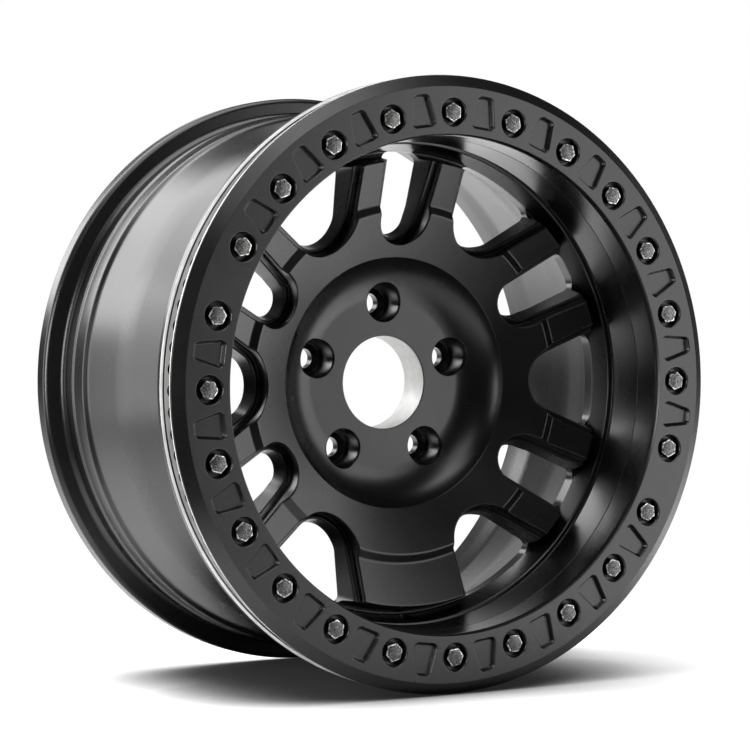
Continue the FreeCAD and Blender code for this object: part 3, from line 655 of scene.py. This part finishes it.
ground = node(world, "ShaderNodeMath", {"operation": "MULTIPLY"},
              {0: below.outputs["Result"], 1: lit_side.outputs["Value"]})
mirrored = node(world, "ShaderNodeMath", {"operation": "MAXIMUM"},
                {0: wall.outputs["Result"], 1: ground.outputs["Value"]})
unseen = node(world, "ShaderNodeMix", {"data_type": "FLOAT", "A": ROOM_DIM},
              {"Factor": ray.outputs["Is Glossy Ray"], "B": mirrored.outputs["Value"]})
seen = node(world, "ShaderNodeMath", {"operation": "MAXIMUM"},
            {0: ray.outputs["Is Camera Ray"], 1: ray.outputs["Is Transmission Ray"]})
level = node(world, "ShaderNodeMix", {"data_type": "FLOAT", "B": 1.0},
             {"Factor": seen.outputs["Value"], "A": unseen.outputs["Result"]})
sky = world.node_tree.nodes["Background"]
sky.inputs["Color"].default_value = (1, 1, 1, 1)
world.node_tree.links.new(level.outputs["Result"], sky.inputs["Strength"])


# Lamps: softboxes above, at the right, high in front, at the left and behind. The camera doesn't see them.
def softbox(name, place, target, size, power):
    """One rectangular lamp of a size in metres and a power in watts, aimed from its place at a target."""
    lamp = bpy.data.lights.new(name, "AREA")
    lamp.shape = "RECTANGLE"
    lamp.size, lamp.size_y = size
    lamp.energy = power
    holder = bpy.data.objects.new(name, lamp)
    aim = Vector(place) - Vector(target)
    holder.matrix_world = Matrix.Translation(place) @ aim.to_track_quat("Z", "Y").to_matrix().to_4x4()
    holder.visible_camera = False
    bpy.context.scene.collection.objects.link(holder)


softbox("overhead", (-0.3, -0.2, 2.0), (-0.1, 0, 0), (2.0, 2.0), 52)
softbox("right_key", (1.95, -1.4, 0.3), (0, 0, 0), (2.7, 1.9), 44)
softbox("front_top", (-0.55, -1.5, 1.4), (0, 0, 0), (0.9, 0.7), 4.5)
softbox("left_wing", (-1.1, 0.55, 0.2), (-0.2, 0, 0), (0.7, 0.9), 7)
softbox("left_strip", (-0.78, -0.28, 0.1), (-0.23, -0.115, 0), (0.2, 0.4), 3.6)
softbox("back_panel", (-0.75, 1.05, 1.05), (-0.15, 0.05, 0.05), (1.2, 1.7), 38)

# Camera: fitted to the photograph, with its swing, rise and lean in degrees. It looks at a point in the
# plane of the ring face, given in mm, from a distance in metres.
SWING, RISE, LEAN = (math.radians(a) for a in (-29.76, 1.37, -0.21))
AIM_X, AIM_Z = -70.32, 8.96
DISTANCE = 2.01175
camera_data = bpy.data.cameras.new("camera")
camera_data.lens = 128.63
camera_data.sensor_width = 36
camera = bpy.data.objects.new("camera", camera_data)
back = Vector((math.sin(SWING) * math.cos(RISE), -math.cos(SWING) * math.cos(RISE), math.sin(RISE)))
right = Vector((math.cos(SWING), math.sin(SWING), 0))
up = back.cross(right)
leaned_right = right * math.cos(LEAN) + up * math.sin(LEAN)
leaned_up = up * math.cos(LEAN) - right * math.sin(LEAN)
turn_in = Matrix((leaned_right, leaned_up, back)).transposed().to_4x4()
camera.matrix_world = Matrix.Translation(metres(AIM_X, 0, AIM_Z) + back * DISTANCE) @ turn_in
bpy.context.scene.collection.objects.link(camera)
bpy.context.scene.camera = camera
bpy.context.scene.view_settings.view_transform = "Standard"
